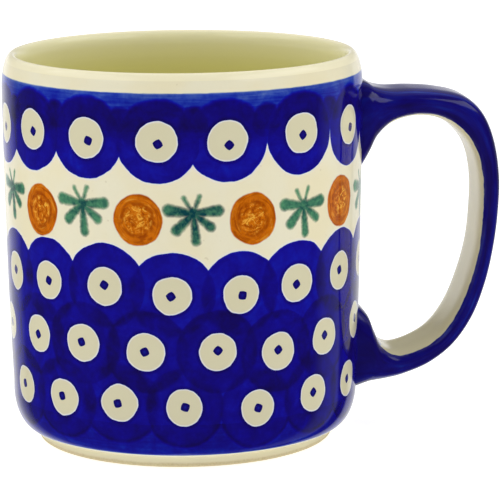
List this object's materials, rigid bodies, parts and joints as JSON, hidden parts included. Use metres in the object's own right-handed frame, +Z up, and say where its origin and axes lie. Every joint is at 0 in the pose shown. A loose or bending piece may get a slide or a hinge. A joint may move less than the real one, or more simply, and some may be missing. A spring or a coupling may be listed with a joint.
{
  "type": "mug",
  "caption": "Straight-sided stoneware mug with a rounded lip, a bare foot ring and a tall strap handle, stamped all round with dotted discs.",
  "frame": {"origin": "centre of the bounding box's underside, in the plane that the mug stands on; the cup's turning axis is 17.8 mm towards -X from it", "axes": "+Z up out of the cup's mouth, +X from the cup towards its handle, +Y to the left of someone looking along +X"},
  "size_m": [0.1276, 0.092, 0.0995],
  "materials": {
    "body": "clear gloss glaze over cobalt, orange and green stamping; bare at the foot",
    "handle": "clear gloss glaze over brushed cobalt, cream on the inside",
    "slip": "clear gloss glaze over cobalt"
  },
  "bodies": {
    "root": {"body": "body", "handle": "handle", "upper_slip_joint": "slip", "lower_slip_joint": "slip"}
  },
  "joints": []
}
